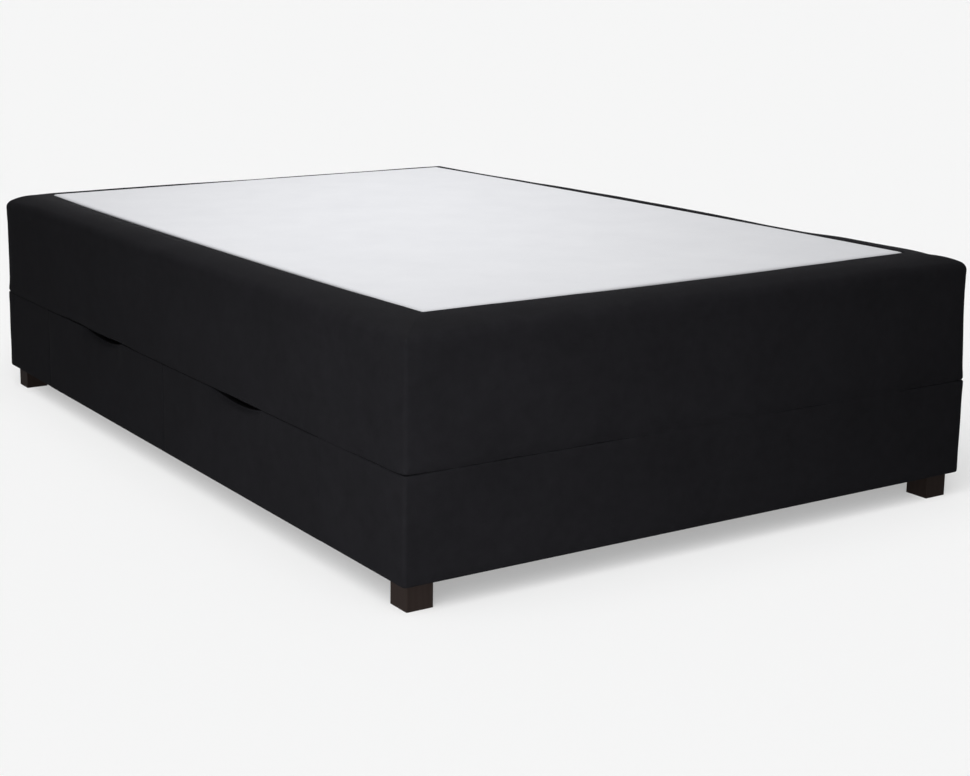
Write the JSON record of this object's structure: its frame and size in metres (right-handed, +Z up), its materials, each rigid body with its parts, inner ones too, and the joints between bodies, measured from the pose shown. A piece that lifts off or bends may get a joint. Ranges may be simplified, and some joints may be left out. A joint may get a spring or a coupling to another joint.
{
  "type": "storage box spring bed",
  "caption": "Black upholstered box spring section with a white top panel inside a padded border, on a storage base with drawers on one long side and dark block feet.",
  "frame": {"origin": "on the floor, under the middle of the bed", "axes": "+Y from the foot end to the head end, +Z up, +X across; the drawers open towards -X"},
  "size_m": [1.4, 2, 0.52],
  "materials": {
    "black_upholstery": "matte",
    "white_cover_cloth": "matte",
    "black_dust_cloth": "matte",
    "dark_foot_wood": "satin",
    "frame_timber": "matte",
    "faced_board": "satin",
    "hardboard": "satin",
    "zinc_steel": "satin",
    "foam": "matte",
    "pocket_cloth": "matte",
    "grey_felt": "matte"
  },
  "bodies": {
    "bed": {"base_bay_backs": "faced_board", "base_bottom_rails": "frame_timber", "base_centre_divider": "faced_board", "base_cleats": "frame_timber", "base_cover": "black_upholstery", "base_dust_cloth": "black_dust_cloth", "base_foot_end_board": "faced_board", "base_foot_end_divider": "faced_board", "base_foot_end_short_board": "faced_board", "base_head_end_board": "faced_board", "base_head_end_divider": "faced_board", "base_head_end_short_board": "faced_board", "base_side_board": "faced_board", "base_top_rails": "frame_timber", "comfort_foam": "foam", "edge_foam": "foam", "foot_blocks": "frame_timber", "foot_bolts": "zinc_steel", "foot_foot_end_left": "dark_foot_wood", "foot_foot_end_right": "dark_foot_wood", "foot_head_end_left": "dark_foot_wood", "foot_head_end_right": "dark_foot_wood", "locating_dowels": "frame_timber", "runner_1_fixed_members": "zinc_steel", "runner_2_fixed_members": "zinc_steel", "spring_core": "pocket_cloth", "spring_felt": "grey_felt", "top_panel": "white_cover_cloth", "upper_centre_beam": "frame_timber", "upper_cover": "black_upholstery", "upper_dust_cloth": "black_dust_cloth", "upper_foot_end_rail": "frame_timber", "upper_head_end_rail": "frame_timber", "upper_left_rail": "frame_timber", "upper_right_rail": "frame_timber", "upper_slat_ledges": "frame_timber", "upper_slats": "frame_timber"},
    "drawer_1": {"drawer_1_back": "faced_board", "drawer_1_bottom": "hardboard", "drawer_1_front_board": "faced_board", "drawer_1_front_cover": "black_upholstery", "drawer_1_left_runner": "zinc_steel", "drawer_1_left_side": "faced_board", "drawer_1_right_runner": "zinc_steel", "drawer_1_right_side": "faced_board"},
    "runner_1_middle_members": {"runner_1_middle_members": "zinc_steel"},
    "runner_1_outer_cages": {"runner_1_outer_cages": "zinc_steel"},
    "runner_1_inner_cages": {"runner_1_inner_cages": "zinc_steel"},
    "drawer_2": {"drawer_2_back": "faced_board", "drawer_2_bottom": "hardboard", "drawer_2_front_board": "faced_board", "drawer_2_front_cover": "black_upholstery", "drawer_2_left_runner": "zinc_steel", "drawer_2_left_side": "faced_board", "drawer_2_right_runner": "zinc_steel", "drawer_2_right_side": "faced_board"},
    "runner_2_middle_members": {"runner_2_middle_members": "zinc_steel"},
    "runner_2_outer_cages": {"runner_2_outer_cages": "zinc_steel"},
    "runner_2_inner_cages": {"runner_2_inner_cages": "zinc_steel"}
  },
  "joints": [
    {"name": "drawer_1_slide", "type": "slide", "parent": "bed", "child": "drawer_1", "axis": [-1, 0, 0], "range_m": [0, 0.55]},
    {"name": "runner_1_middle_members_slide", "type": "slide", "parent": "bed", "child": "runner_1_middle_members", "axis": [-1, 0, 0], "range_m": [0, 0.275]},
    {"name": "runner_1_outer_cages_slide", "type": "slide", "parent": "bed", "child": "runner_1_outer_cages", "axis": [-1, 0, 0], "range_m": [0, 0.1375]},
    {"name": "runner_1_inner_cages_slide", "type": "slide", "parent": "bed", "child": "runner_1_inner_cages", "axis": [-1, 0, 0], "range_m": [0, 0.4125]},
    {"name": "drawer_2_slide", "type": "slide", "parent": "bed", "child": "drawer_2", "axis": [-1, 0, 0], "range_m": [0, 0.55]},
    {"name": "runner_2_middle_members_slide", "type": "slide", "parent": "bed", "child": "runner_2_middle_members", "axis": [-1, 0, 0], "range_m": [0, 0.275]},
    {"name": "runner_2_outer_cages_slide", "type": "slide", "parent": "bed", "child": "runner_2_outer_cages", "axis": [-1, 0, 0], "range_m": [0, 0.1375]},
    {"name": "runner_2_inner_cages_slide", "type": "slide", "parent": "bed", "child": "runner_2_inner_cages", "axis": [-1, 0, 0], "range_m": [0, 0.4125]}
  ],
  "couplings": [
    {"joint": "runner_1_middle_members_slide", "follows": "drawer_1_slide", "ratio": 0.5},
    {"joint": "runner_1_outer_cages_slide", "follows": "drawer_1_slide", "ratio": 0.25},
    {"joint": "runner_1_inner_cages_slide", "follows": "drawer_1_slide", "ratio": 0.75},
    {"joint": "runner_2_middle_members_slide", "follows": "drawer_2_slide", "ratio": 0.5},
    {"joint": "runner_2_outer_cages_slide", "follows": "drawer_2_slide", "ratio": 0.25},
    {"joint": "runner_2_inner_cages_slide", "follows": "drawer_2_slide", "ratio": 0.75}
  ]
}
